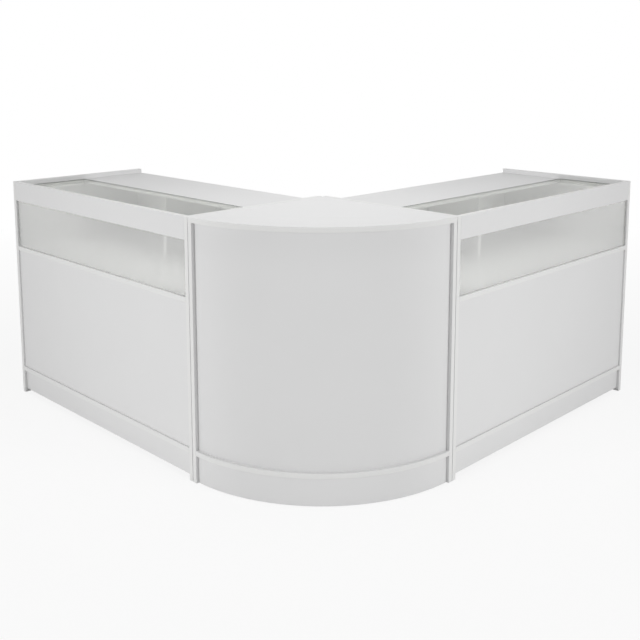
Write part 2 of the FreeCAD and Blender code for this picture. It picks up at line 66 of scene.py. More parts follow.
# %% Camera
CAMERA_PLACE = (-2.6547, -2.6493, 1.4295)
CAMERA_HEADING = 44.77  # degrees from the x axis
CAMERA_TILT = 8.37  # degrees below level
CAMERA_LENS = 51.04
CAMERA_SHIFT = (-0.0078, -0.2031)  # in widths of the picture

camera_data = bpy.data.cameras.new("photo camera")
camera_data.lens = CAMERA_LENS
camera_data.shift_x, camera_data.shift_y = CAMERA_SHIFT
camera = bpy.data.objects.new("photo camera", camera_data)
camera.location = CAMERA_PLACE
camera.rotation_euler = (math.radians(90 - CAMERA_TILT), 0, math.radians(CAMERA_HEADING - 90))
bpy.context.collection.objects.link(camera)
bpy.context.scene.camera = camera
print("camera", CAMERA_LENS, "mm lens")

# %% [markdown]
# ## Helpers for finishes
# Every finish is a small tree of shader nodes. One function adds a node with its settings and links, so that
# the tree reads from top to bottom. Another turns the usual sRGB hex colour into the linear numbers that the
# renderer works with.

# %% Node and colour helpers
def add_node(tree, kind, inputs=None, **settings):
    """Add a node, set its properties, and give each named or numbered input a value or a link."""
    node = tree.nodes.new(kind)
    for name, setting in settings.items():
        setattr(node, name, setting)
    for name, value in (inputs or {}).items():
        if isinstance(value, bpy.types.NodeSocket):
            tree.links.new(value, node.inputs[name])
        else:
            node.inputs[name].default_value = value
    return node


def colour(hex_code):
    """An sRGB hex colour as linear red, green, blue and a full alpha."""
    parts = [int(hex_code[i:i + 2], 16) / 255 for i in (1, 3, 5)]
    return [c / 12.92 if c <= 0.04045 else ((c + 0.055) / 1.055) ** 2.4 for c in parts] + [1]


def new_finish(name):
    """An empty material, and its tree to add nodes to."""
    material = bpy.data.materials.new(name)
    material.use_nodes = True
    material.node_tree.nodes.clear()
    return material, material.node_tree


def scale_for(size_mm):
    """Noise scale whose patches are about this many millimetres across."""
    return 1000 / size_mm


print("half-way grey in linear colour", [round(c, 3) for c in colour("#808080")[:3]])

# %% [markdown]
# ## White melamine board
# Shop counters are cut from chipboard faced with white melamine paper, pressed against a finely pearled
# plate, and their edges are banded with white plastic strip. The face is a satin white with a faint
# cloudiness, and the edging is a touch brighter and smoother. The edging could be modelled as strips, but a
# board's edge is simply where the surface doesn't face along the thin side of the board, so the finish can
# find it from the normal. That needs one finish for each way a board can lie.

# %% Melamine finish
FACE_WHITE, FACE_WHITE_DEEP = "#e8e8e8", "#e5e5e5"
EDGE_WHITE = "#ebebea"
EDGE_TURN = 0.5  # the normal of an edge has less than this of its length along the thin side
CLOUD_MM = 260
PEARL_MM = 5  # really about 1 mm, drawn coarser so that it still shows as a soft break in the gloss
PEARL_DEPTH, PEARL_STRENGTH = 0.05 * MM, 0.35
PEARL_SMOOTH, PEARL_ROUGH = 0.36, 0.46


def edge_test(tree, place, thin_axis):
    """One on the edges of a board or a sheet, and zero on its two faces."""
    normal = add_node(tree, "ShaderNodeSeparateXYZ", {0: place.outputs["Normal"]})
    along_thin = add_node(tree, "ShaderNodeMath", {0: normal.outputs[thin_axis]}, operation="ABSOLUTE")
    on_edge = add_node(tree, "ShaderNodeMath", {
        0: along_thin.outputs[0], 1: EDGE_TURN}, operation="LESS_THAN")
    return on_edge.outputs[0]


def melamine(name, thin_axis):
    """Clouded, pearled faces with plain edging, for a board that is thinnest along one axis."""
    material, tree = new_finish(name)
    place = add_node(tree, "ShaderNodeTexCoord")
    cloud = add_node(tree, "ShaderNodeTexNoise", {
        "Vector": place.outputs["Object"], "Scale": scale_for(CLOUD_MM), "Detail": 3})
    face = add_node(tree, "ShaderNodeMix", {
        0: cloud.outputs["Fac"], 6: colour(FACE_WHITE_DEEP), 7: colour(FACE_WHITE)}, data_type="RGBA")
    tone = add_node(tree, "ShaderNodeMix", {
        0: edge_test(tree, place, thin_axis), 6: face.outputs[2], 7: colour(EDGE_WHITE)}, data_type="RGBA")
    pearl = add_node(tree, "ShaderNodeTexNoise", {
        "Vector": place.outputs["Object"], "Scale": scale_for(PEARL_MM), "Detail": 1})
    gloss = add_node(tree, "ShaderNodeMapRange", {
        "Value": pearl.outputs["Fac"], "To Min": PEARL_SMOOTH, "To Max": PEARL_ROUGH})
    relief = add_node(tree, "ShaderNodeBump", {
        "Height": pearl.outputs["Fac"], "Strength": PEARL_STRENGTH, "Distance": PEARL_DEPTH})
    surface = add_node(tree, "ShaderNodeBsdfPrincipled", {
        "Base Color": tone.outputs[2], "Roughness": gloss.outputs[0], "Normal": relief.outputs[0],
        "IOR": 1.5})
    add_node(tree, "ShaderNodeOutputMaterial", {"Surface": surface.outputs[0]})
    return material


# To the eye: a quiet white with a broad, soft shine that never turns into a mirror, and a crisp pale edge.
melamine_boards = [melamine(f"white_melamine_board_thin_{axis}", number) for number, axis in enumerate("xyz")]
print("finishes", [material.name for material in melamine_boards])

# %% [markdown]
# ## Foil, lacquer, plastic and zinc
# The bent panel, the battens and the doors are not melamine: board that has to bend, or is too thin to band,
# is wrapped in foil or lacquered. Their white is close to the melamine's, and what differs is the gloss: foil
# lies smooth, sprayed lacquer has a slight orange peel, and moulded plastic is duller and a little warmer.
# Zinc plate is a metal, so its colour is its reflection, clouded by the plating bath. All five are a tone, a
# grain and a gloss, so one function makes them, and only the numbers differ.

# %% Other opaque finishes
GRAIN_STRENGTH = 0.3


def smooth_coat(name, pale, deep, grain_mm, grain_depth, gloss_range, metallic=0.0, cloud_mm=CLOUD_MM):
    """A coat in two close tones, with a grain that breaks its gloss."""
    material, tree = new_finish(name)
    place = add_node(tree, "ShaderNodeTexCoord")
    cloud = add_node(tree, "ShaderNodeTexNoise", {
        "Vector": place.outputs["Object"], "Scale": scale_for(cloud_mm), "Detail": 3})
    tone = add_node(tree, "ShaderNodeMix", {
        0: cloud.outputs["Fac"], 6: colour(deep), 7: colour(pale)}, data_type="RGBA")
    grain = add_node(tree, "ShaderNodeTexNoise", {
        "Vector": place.outputs["Object"], "Scale": scale_for(grain_mm), "Detail": 1})
    gloss = add_node(tree, "ShaderNodeMapRange", {
        "Value": grain.outputs["Fac"], "To Min": gloss_range[0], "To Max": gloss_range[1]})
    relief = add_node(tree, "ShaderNodeBump", {
        "Height": grain.outputs["Fac"], "Strength": GRAIN_STRENGTH, "Distance": grain_depth})
    surface = add_node(tree, "ShaderNodeBsdfPrincipled", {
        "Base Color": tone.outputs[2], "Roughness": gloss.outputs[0], "Normal": relief.outputs[0],
        "Metallic": metallic})
    add_node(tree, "ShaderNodeOutputMaterial", {"Surface": surface.outputs[0]})
    return material


# To the eye: one calm band of light that follows the bend.
bent_foil = smooth_coat("satin_foil_on_bent_board", "#e7e7e7", "#e4e4e4", 9, 0.04 * MM, (0.34, 0.42))
# To the eye: a dull strip that stays quiet under the bright glass.
batten_foil = smooth_coat("foil_wrapped_batten", "#e7e7e6", "#e3e3e2", 6, 0.04 * MM, (0.38, 0.46))
# To the eye: a livelier shine than on the boards, with its outline softened by the orange peel.
door_lacquer = smooth_coat("lacquered_fibreboard", "#e6e6e6", "#e3e3e3", 4, 0.06 * MM, (0.32, 0.42))
# To the eye: a creamier, flatter white, so that pulls and glides stand out from the boards.
moulded_plastic = smooth_coat(
    "moulded_white_polypropylene", "#e2e2de", "#dddcd8", 3, 0.05 * MM, (0.42, 0.52))
# To the eye: small glints with bluish grey between them.
zinc_plate = smooth_coat(
    "bright_zinc_plate", "#d2d4d6", "#b9bdc2", 1.5, 0.03 * MM, (0.24, 0.38), metallic=1.0, cloud_mm=4)
print("finishes", [m.name for m in (bent_foil, batten_foil, door_lacquer, moulded_plastic, zinc_plate)])

# %% [markdown]
# ## Clear float glass
# Float glass is nearly colourless through its face and green through its edge, because there the eye looks
# along the sheet. Here that edge green is drawn darker still, as painted shade for the dark line where a
# sheet sits in its groove. The test that finds a board's edge finds the edge of the sheet too. A glass shader
# stops the straight light of lamps, so for shadow rays it is mixed with a plain see-through shader: otherwise
# the inside of the display would be dark. The photograph shows the windows a little milky, so a third of
# their light is scattered instead of passing through. It shows the top sheets grey and hardly shining,
# although it
# looks almost along them, so these bend light far less than real glass does. Their grey tint is painted
# shade:
# it darkens the inside seen through them, while the lamps' light passes them nearly clear.

# %% Glass finish
# the green of a glass edge, drawn darker as painted shade for the dark line where a sheet sits in its groove
GLASS_EDGE_AND_GROOVE_SHADE = "#4a5650"
GLASS_LIGHT = "#fafbfa"
FRONT_TINT, FRONT_IOR, FRONT_CLEAR = "#f0f0ef", 1.52, 0.66
# the top sheets' grey tint is painted shade: it darkens what is seen through them, while lamp light passes
# nearly clear
TOP_SHADE_TINT, TOP_IOR, TOP_CLEAR = "#e3e4e1", 1.07, 0.9
SMEAR_MM = 90
SMEAR_FROM, SMEAR_TO = 0.4, 0.8  # where in the noise the wipe marks begin, and where they are fullest
SMEAR_ROUGH = 0.03


def float_glass(name, thin_axis, tint, bend, clear):
    """Tinted faces, faint wipe marks and a green edge with painted groove shade, for a sheet thinnest along
    one axis.
    """
    material, tree = new_finish(name)
    place = add_node(tree, "ShaderNodeTexCoord")
    tone = add_node(tree, "ShaderNodeMix", {
        0: edge_test(tree, place, thin_axis), 6: colour(tint), 7: colour(GLASS_EDGE_AND_GROOVE_SHADE)}, data_type="RGBA")
    smear = add_node(tree, "ShaderNodeTexNoise", {
        "Vector": place.outputs["Object"], "Scale": scale_for(SMEAR_MM), "Detail": 2})
    wiped = add_node(tree, "ShaderNodeMapRange", {
        "Value": smear.outputs["Fac"], "From Min": SMEAR_FROM, "From Max": SMEAR_TO,
        "To Min": 0.0, "To Max": SMEAR_ROUGH})
    surface = add_node(tree, "ShaderNodeBsdfPrincipled", {
        "Base Color": tone.outputs[2], "Roughness": wiped.outputs[0], "IOR": bend,
        "Transmission Weight": clear})
    let_through = add_node(tree, "ShaderNodeBsdfTransparent", {"Color": colour(GLASS_LIGHT)})
    ray = add_node(tree, "ShaderNodeLightPath")
    either = add_node(tree, "ShaderNodeMixShader", {
        0: ray.outputs["Is Shadow Ray"], 1: surface.outputs[0], 2: let_through.outputs[0]})
    add_node(tree, "ShaderNodeOutputMaterial", {"Surface": either.outputs[0]})
    return material


# To the eye: a bright inside behind a thin haze, edges darkened by painted shade, and tops grey with painted
# shade.
glass_sheets = [
    float_glass("clear_float_glass_thin_x", 0, FRONT_TINT, FRONT_IOR, FRONT_CLEAR),
    float_glass("clear_float_glass_thin_y", 1, FRONT_TINT, FRONT_IOR, FRONT_CLEAR),
    float_glass("clear_float_glass_painted_shade_thin_z", 2, TOP_SHADE_TINT, TOP_IOR, TOP_CLEAR),
]
print("finishes", [material.name for material in glass_sheets])

# %% [markdown]
# ## Giving each node its finish
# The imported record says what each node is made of. Boards and glass also need the way they lie, and that is
# the shortest side of their box. A list of nodes by hand would do as well, but it would have to be kept up.

# %% Finishes on the CAD nodes
slot_of_node = {part["node"]: part["material_slot"] for part in record["subparts"]}
one_finish = {
    "bent_melamine": bent_foil,
    "batten": batten_foil,
    "door_panel": door_lacquer,
    "white_plastic": moulded_plastic,
    "zinc_plated_steel": zinc_plate,
}
finish_by_lie = {"white_melamine": melamine_boards, "clear_glass": glass_sheets}


def thin_axis_of(node):
    """The axis, from 0 to 2, along which the node's box is shortest."""
    low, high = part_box(node)
    sides = list(high - low)
    return sides.index(min(sides))


def finish_of(node):
    """The finish for what the node is made of and, for boards and glass, for how it lies."""
    slot = slot_of_node[node]
    return one_finish[slot] if slot in one_finish else finish_by_lie[slot][thin_axis_of(node)]


for node, obj in frame["nodes"].items():
    obj.data.materials.clear()
    obj.data.materials.append(finish_of(node))
print("finished nodes", len(frame["nodes"]))

# %% [markdown]
# ## Making a new piece part of the set
# A new mesh takes the place of one CAD node: it sits at the origin with its place in its vertices, it rides
# on the node's body, it gets the finish of the node's slot, and the node is hidden. Round pieces are shaded
# smooth, except where two faces really meet at an edge. These steps are the same for every piece, so they are
# helpers.

# %% Piece helpers
SMOOTH_ANGLE = math.radians(32)
body_of_node = {node: body for body, nodes in record["behaviour"]["bodies"].items() for node in nodes}


def new_object(name, mesh):
    """An object with this mesh, in the scene."""
    obj = bpy.data.objects.new(name, mesh)
    bpy.context.collection.objects.link(obj)
    return obj


def settle(obj):
    """Turn what the modifiers make into the object's own plain mesh."""
    graph = bpy.context.evaluated_depsgraph_get()
    mesh = bpy.data.meshes.new_from_object(obj.evaluated_get(graph), depsgraph=graph)
    obj.modifiers.clear()
    obj.data = mesh
    return obj


def stand_for(obj, node, finish=None):
    """Give the piece a finish if one is given, shade it, let it ride on its node's body, and hide the node.
    """
    if finish:
        obj.data.materials.clear()
        obj.data.materials.append(finish)
    obj.data.shade_smooth()
    obj.data.set_sharp_from_angle(angle=SMOOTH_ANGLE)
    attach(obj, body_of_node[node])
    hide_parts(node)
    print(obj.name, "has", len(obj.data.polygons), "faces")


def named_input(tree, name, kind="NodeSocketFloat"):
    """Give a Geometry Nodes tree one more input."""
    tree.interface.new_socket(name, in_out="INPUT", socket_type=kind)


def set_inputs(modifier, values):
    """Set a Geometry Nodes modifier's inputs, found by name, through their identifiers."""
    for item in modifier.node_group.interface.items_tree:
        if item.in_out == "INPUT" and item.name in values:
            modifier[item.identifier] = values[item.name]


print("bodies for", len(body_of_node), "nodes")

# %% [markdown]
# ## The bent panel and plinth of the corner
# On the real corner unit a thin board is bent round a quarter circle and held in grooves. In CAD its faces
# are a few dozen flats, which show as bands in the soft light. A bent sheet follows a rule, an upright strip
# swept along an arc, so a Geometry Nodes tree makes it: an arc, a strip with eased corners as the profile,
# and one sweep. The same tree makes the tall panel and the low plinth.

# %% Bent sheet tree
bent_tree = bpy.data.node_groups.new("bent sheet", "GeometryNodeTree")
bent_tree.interface.new_socket("Geometry", in_out="OUTPUT", socket_type="NodeSocketGeometry")
for size in ("Outer radius", "Thickness", "Height", "Corner ease", "Start angle", "Sweep angle"):
    named_input(bent_tree, size)
named_input(bent_tree, "Steps", "NodeSocketInt")
named_input(bent_tree, "Foot of the curve's centre", "NodeSocketVector")
named_input(bent_tree, "Finish", "NodeSocketMaterial")

given = add_node(bent_tree, "NodeGroupInput").outputs
half_sheet = add_node(bent_tree, "ShaderNodeMath", {0: given["Thickness"], 1: 0.5}, operation="MULTIPLY")
mid_radius = add_node(
    bent_tree, "ShaderNodeMath", {0: given["Outer radius"], 1: half_sheet.outputs[0]}, operation="SUBTRACT")
path = add_node(bent_tree, "GeometryNodeCurveArc", {
    "Resolution": given["Steps"], "Radius": mid_radius.outputs[0],
    "Start Angle": given["Start angle"], "Sweep Angle": given["Sweep angle"]})
strip = add_node(bent_tree, "GeometryNodeCurvePrimitiveQuadrilateral", {
    "Width": given["Thickness"], "Height": given["Height"]})
eased = add_node(bent_tree, "GeometryNodeFilletCurve", {
    "Curve": strip.outputs[0], "Radius": given["Corner ease"], "Count": 3}, mode="POLY")
swept = add_node(bent_tree, "GeometryNodeCurveToMesh", {
    "Curve": path.outputs["Curve"], "Profile Curve": eased.outputs[0], "Fill Caps": True})
half_height = add_node(bent_tree, "ShaderNodeMath", {0: given["Height"], 1: 0.5}, operation="MULTIPLY")
lift = add_node(bent_tree, "ShaderNodeCombineXYZ", {"Z": half_height.outputs[0]})
centre = add_node(bent_tree, "ShaderNodeVectorMath", {
    0: given["Foot of the curve's centre"], 1: lift.outputs[0]})
stood = add_node(bent_tree, "GeometryNodeTransform", {
    "Geometry": swept.outputs[0], "Translation": centre.outputs[0]})
realized = add_node(bent_tree, "GeometryNodeRealizeInstances", {"Geometry": stood.outputs[0]})
coated = add_node(bent_tree, "GeometryNodeSetMaterial", {
    "Geometry": realized.outputs[0], "Material": given["Finish"]})
add_node(bent_tree, "NodeGroupOutput", {"Geometry": coated.outputs[0]})
print("bent sheet tree has", len(bent_tree.nodes), "nodes")

# %% [markdown]
# ## Two sheets from the one tree
# The panel and the plinth differ in height and radius only. Both numbers could be written down here, but the
# boxes of the CAD nodes already hold them, so they are read from there. A sheet stops a hair short of the
# corner's side panels, because two faces in one plane would flicker.

# %% Bent panel and plinth
top_low, top_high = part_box("corner_top")
APEX = Vector((top_high.x, top_high.y, 0))  # where the corner's two straight sides meet
CORNER_RADIUS = top_high.x - top_low.x
BOARD_MM = 18
BOARD = BOARD_MM * MM
SHEET = 8 * MM
SHEET_EASE = 0.5 * MM
END_CLEAR = 0.3 * MM
CURVE_STEPS = 128


def bent_sheet(name, node):
    """A bent sheet in the place of a CAD node, between the corner's side panels."""
    low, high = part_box(node)
    outer = math.hypot(APEX.x - low.x, BOARD)
    end_angle = math.asin((BOARD + END_CLEAR) / (outer - SHEET))
    obj = new_object(name, bpy.data.meshes.new(name))
    modifier = obj.modifiers.new("bent sheet", "NODES")
    modifier.node_group = bent_tree
    set_inputs(modifier, {
        "Outer radius": outer, "Thickness": SHEET, "Height": high.z - low.z, "Corner ease": SHEET_EASE,
        "Start angle": math.pi + end_angle, "Sweep angle": math.pi / 2 - 2 * end_angle,
        "Steps": CURVE_STEPS, "Foot of the curve's centre": APEX + Vector((0, 0, low.z)),
        "Finish": finish_of(node)})
    stand_for(settle(obj), node)
    print(name, "outer radius", round(outer, 4), "m")


bent_sheet("bent_front_panel", "corner_curved_panel")
bent_sheet("bent_plinth", "corner_curved_plinth")

# %% [markdown]
# ## The quarter-round top and base of the corner
# Both are boards sawn to a quarter circle and banded round the curve. A filled outline, pushed up to the
# board's thickness and bevelled, makes either one. The top has all its edges broken. The base is rounded on
# its curve only, where it catches the line of light above the plinth: its straight sides butt against other
# boards. A Bevel modifier could do this too, but here the edges are easier to pick by where they lie.

# %% Quarter boards
EDGE_BREAK = 0.8 * MM
NOSING = 2 * MM
EDGE_SEGMENTS = 5


def quarter_board(name, node, margin, round_off):
    """A quarter-round board in the place of a CAD node, its straight sides this margin from the apex."""
    low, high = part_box(node)
    thickness = Vector((0, 0, high.z - low.z))
    swing = math.asin(margin / CORNER_RADIUS)
    shape = bmesh.new()
    outline = [shape.verts.new((APEX.x - margin, APEX.y - margin, low.z))]
    for step in range(CURVE_STEPS + 1):
        angle = math.pi + swing + (math.pi / 2 - 2 * swing) * step / CURVE_STEPS
        arm = Vector((math.cos(angle), math.sin(angle), 0)) * CORNER_RADIUS
        outline.append(shape.verts.new((APEX.x + arm.x, APEX.y + arm.y, low.z)))
    raised = bmesh.ops.extrude_face_region(shape, geom=[shape.faces.new(outline)])["geom"]
    raised_points = [part for part in raised if isinstance(part, bmesh.types.BMVert)]
    bmesh.ops.translate(shape, vec=thickness, verts=raised_points)
    bmesh.ops.recalc_face_normals(shape, faces=shape.faces)

    def is_rounded(edge):
        level = abs(edge.verts[0].co.z - edge.verts[1].co.z) < EDGE_BREAK
        on_curve = all((v.co - APEX).xy.length > CORNER_RADIUS - MM for v in edge.verts)
        return level and (margin == 0 or on_curve)

    edges = [edge for edge in shape.edges if is_rounded(edge)]
    bmesh.ops.bevel(
        shape, geom=edges, offset=round_off, segments=EDGE_SEGMENTS, profile=0.5, affect="EDGES")
    mesh = bpy.data.meshes.new(name)
    shape.to_mesh(mesh)
    shape.free()
    stand_for(new_object(name, mesh), node, finish_of(node))


quarter_board("quarter_round_top", "corner_top", 0, EDGE_BREAK)
quarter_board("quarter_round_base", "corner_base_board", BOARD, NOSING)

# %% [markdown]
# ## Small fittings as lofts
# Pulls, pins, screws and glides are all turned or moulded, so each is a stack of rings joined into a skin.
# The ring is a rectangle with rounded corners, which also makes circles, and one more ring makes the cross
# recess of a screw head. A lathe would do for the pins alone, but not for the oblong pulls.

# %% Ring and loft helpers
SIDES_BY_QUARTER = ((1, 1), (-1, 1), (-1, -1), (1, -1))
LEAST_SHARE = 0.01  # keeps a division finite where a ring crosses an axis
MERGE_DISTANCE = 1e-6


def ring_angles(turns):
    """Angles round a ring, a quarter at a time, with the ends of each quarter."""
    return [math.pi / 2 * (quarter + step / turns) for quarter in range(4) for step in range(turns + 1)]


def rounded_ring(half_length, half_height, corner, level, turns):
    """A rectangle with rounded corners, or a circle when its sides are no longer than the corners."""
    points = []
    for index, angle in enumerate(ring_angles(turns)):
        side_x, side_y = SIDES_BY_QUARTER[index // (turns + 1)]
        points.append(Vector((
            side_x * (half_length - corner) + corner * math.cos(angle),
            side_y * (half_height - corner) + corner * math.sin(angle), level)))
    return points


def crossed_ring(arm, half_width, level, turns):
    """A plus shape, by how far its outline is from the middle in each direction."""
    points = []
    for angle in ring_angles(turns):
        near, far = sorted((abs(math.cos(angle)), abs(math.sin(angle))))
        reach = min(arm / far, half_width / max(near, LEAST_SHARE))
        points.append(Vector((reach * math.cos(angle), reach * math.sin(angle), level)))
    return points


def loft(name, rings):
    """Join rings of equally many points into a closed skin, with its first and last ring filled."""
    shape = bmesh.new()
    rows = [[shape.verts.new(point) for point in ring] for ring in rings]
    count = len(rows[0])
    for row, after in zip(rows, rows[1:]):
        for k in range(count):
            shape.faces.new((row[k], row[(k + 1) % count], after[(k + 1) % count], after[k]))
    shape.faces.new(reversed(rows[0]))
    shape.faces.new(rows[-1])
    bmesh.ops.remove_doubles(shape, verts=shape.verts, dist=MERGE_DISTANCE)
    bmesh.ops.recalc_face_normals(shape, faces=shape.faces)
    mesh = bpy.data.meshes.new(name)
    shape.to_mesh(mesh)
    shape.free()
    return mesh


print("a ring of four turns has", len(ring_angles(4)), "points")

# %% [markdown]
# ## Finger pulls of the doors
# Sliding doors that pass each other have no room for knobs, so a moulded cup is pressed into a cut-out. Its
# thin rim lies on the door and hides the cut, and the fingertips find the hollow. A cup could be cut from a
# block, but rings that run round it keep the rim and the hollow in one even skin. From back to front and down
# into the cup, each row gives half the length, half the height, the corner radius and the height above the
# door, in millimetres.

# %% Finger pulls
PULL_RINGS = [
    (30.0, 12.0, 2.0, -6.5), (30.0, 12.0, 2.0, 0.0), (33.0, 15.0, 8.0, 0.0), (33.0, 15.0, 8.0, 0.8),
    (32.4, 14.4, 7.4, 1.2), (29.4, 11.4, 5.5, 1.2), (28.8, 10.8, 5.0, 0.7), (28.0, 10.0, 4.6, -3.5),
    (27.2, 9.2, 4.0, -4.7), (25.8, 7.8, 3.0, -5.2)]
RIM_HEIGHT = 1.2 * MM
PULL_TURNS = 6

pull_nodes = [node for node in slot_of_node if node.endswith("_door_pull")]
for node in pull_nodes:
    low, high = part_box(node)
    middle = (low + high) / 2
    if node.startswith("right"):
        along, outward, face = Vector((1, 0, 0)), Vector((0, 1, 0)), high.y - RIM_HEIGHT
        seat = Vector((middle.x, face, middle.z))
    else:
        along, outward, face = Vector((0, 1, 0)), Vector((1, 0, 0)), high.x - RIM_HEIGHT
        seat = Vector((face, middle.y, middle.z))
    rings = [[seat + (along * p.x + Vector((0, 0, p.y)) + outward * p.z) * MM
              for p in rounded_ring(*ring, PULL_TURNS)] for ring in PULL_RINGS]
    name = node.replace("_pull", "_finger_pull")
    stand_for(new_object(name, loft(name, rings)), node, finish_of(node))
    print(name, "CAD box", [round(side / MM, 1) for side in high - low], "mm")

# %% [markdown]
# ## Pins, screws and glides by Geometry Nodes
# These come in numbers and sit by a rule: four pins under each shelf, two screws through each pair of panels,
# two glides under each upright board. One tree sets a fitting on every point of a mesh and turns it the way
# the point's "facing" says. Copying objects would do too, but this way a fitting is drawn once, in
# millimetres.

# %% Fittings tree
fitting_tree = bpy.data.node_groups.new("fittings on points", "GeometryNodeTree")
fitting_tree.interface.new_socket("Geometry", in_out="OUTPUT", socket_type="NodeSocketGeometry")
named_input(fitting_tree, "Places", "NodeSocketGeometry")
named_input(fitting_tree, "Fitting", "NodeSocketObject")
named_input(fitting_tree, "Size of one unit")
named_input(fitting_tree, "Finish", "NodeSocketMaterial")

given = add_node(fitting_tree, "NodeGroupInput").outputs
facing = add_node(
    fitting_tree, "GeometryNodeInputNamedAttribute", {"Name": "facing"}, data_type="FLOAT_VECTOR")
turned = add_node(
    fitting_tree, "FunctionNodeAlignRotationToVector", {"Vector": facing.outputs["Attribute"]}, axis="Z")
drawn = add_node(fitting_tree, "GeometryNodeObjectInfo", {"Object": given["Fitting"]})
placed = add_node(fitting_tree, "GeometryNodeInstanceOnPoints", {
    "Points": given["Places"], "Instance": drawn.outputs["Geometry"], "Rotation": turned.outputs[0],
    "Scale": given["Size of one unit"]})
realized = add_node(fitting_tree, "GeometryNodeRealizeInstances", {"Geometry": placed.outputs[0]})
coated = add_node(fitting_tree, "GeometryNodeSetMaterial", {
    "Geometry": realized.outputs[0], "Material": given["Finish"]})
add_node(fitting_tree, "NodeGroupOutput", {"Geometry": coated.outputs[0]})
print("fittings tree has", len(fitting_tree.nodes), "nodes")

# %% [markdown]
# ## How each fitting is shaped
# A shelf pin is a turned rod, almost half of it in its hole. A joining screw has a tip, a shank and a domed
# head with a cross recess. A glide is a square pad with soft edges and a shallow dish. A row gives a ring's
# radius and its level along the fitting, in millimetres, and a glide's row half its side, its corner radius
# and its level. Level 0 is the face of the board that the fitting sits on. Threads are left out, because
# they are hidden in the boards.

# %% Fitting shapes
FEW_TURNS, MANY_TURNS = 3, 8  # the arms of a cross recess need the finer ring


def round_rows(rows, turns):
    """Round rings from rows of radius and level."""
    return [rounded_ring(radius, radius, radius, level, turns) for radius, level in rows]


def square_rows(rows, turns):
    """Square rings from rows of half a side, corner radius and level."""
    return [rounded_ring(half, half, corner, level, turns) for half, corner, level in rows]


PIN = round_rows([
    (1.6, -8), (2.2, -7.4), (2.2, -0.3), (2.5, 0), (2.5, 9.2), (2.2, 9.8), (1.6, 10)], FEW_TURNS)
SCREW = round_rows([
    (0.4, -32), (2.5, -28), (2.5, 0), (4.6, 0), (5, 0.5), (5, 1.5), (4.3, 2.5), (3.2, 3)], MANY_TURNS)
SCREW += [crossed_ring(2.6, 0.7, 3.0, MANY_TURNS), crossed_ring(2.0, 0.45, 1.3, MANY_TURNS)]
GLIDE = square_rows([
    (7.6, 1.8, 0), (8, 2, 0.4), (8, 2, 2.2), (7.2, 1.6, 3), (5.6, 1.2, 3), (5.2, 1, 2.6)], FEW_TURNS)
print("rings of a pin", len(PIN), "of a screw", len(SCREW), "of a glide", len(GLIDE))

# %% [markdown]
# ## Where the fittings sit
# A joiner sets out holes from the ends and the front of a counter, so the places are given in the same way.
# Two small functions turn them into places in the set, one for each straight counter. The places could be
# measured off the CAD meshes, but a few numbers say more clearly what the rule is.

# %% Fitting places
COUNTER_MM = 1200
HALF_SET_MM = 911  # from the middle of the set to its fronts and to its outer ends
PIN_HEIGHT, PIN_DEPTHS = 359.5, (84, 520)
SCREW_SPOTS = ((70, 555), (550, 188))  # depth and height
GLIDE_TOP, GLIDE_DEPTHS = 3, (60, 560)
ALONG_RIGHT, ALONG_LEFT, DOWN = Vector((1, 0, 0)), Vector((0, -1, 0)), Vector((0, 0, -1))


def from_right(along, across, height):
    """A place in the right counter, along from the corner, back from the front and up, in millimetres."""
    return Vector((along + HALF_SET_MM - COUNTER_MM, across - HALF_SET_MM, height)) * MM


def from_left(along, across, height):
    """A place in the left counter, along from its outer end, back from the front and up, in millimetres."""
    return Vector((across - HALF_SET_MM, HALF_SET_MM - along, height)) * MM


first_face, last_face = BOARD_MM, COUNTER_MM - BOARD_MM
divider_face, divider_back = (COUNTER_MM - BOARD_MM) / 2, (COUNTER_MM + BOARD_MM) / 2
bay_sides = ((first_face, 1), (divider_face, -1), (divider_back, 1), (last_face, -1))
pin_places = [
    (counter(side, depth, PIN_HEIGHT), along * way)
    for counter, along in ((from_right, ALONG_RIGHT), (from_left, ALONG_LEFT))
    for side, way in bay_sides for depth in PIN_DEPTHS]
screw_places = [
    (counter(side, depth, height), facing_in)
    for counter, side, facing_in in (
        (from_right, first_face, ALONG_RIGHT), (from_left, last_face, -ALONG_LEFT))
    for depth, height in SCREW_SPOTS]

half_board = BOARD_MM / 2
glide_places = [
    (counter(side, depth, GLIDE_TOP), DOWN)
    for counter in (from_right, from_left) for side in (half_board, COUNTER_MM - half_board)
    for depth in GLIDE_DEPTHS]
corner_spots = [(-half_board, -depth) for depth in reversed(GLIDE_DEPTHS)]
corner_spots += [(y, x) for x, y in corner_spots]
glide_places += [(APEX + Vector((x, y, GLIDE_TOP)) * MM, DOWN) for x, y in corner_spots]
print("pins", len(pin_places), "screws", len(screw_places), "glides", len(glide_places))

# %% [markdown]
# ## Setting the fittings
# Shape, places and tree come together here. Each kind of fitting becomes one mesh in the place of its CAD
# node, because the construction holds each kind as one group too. The drawing of a single fitting is then
# taken out of the scene, and the printed heights show that the mesh agrees with the node.

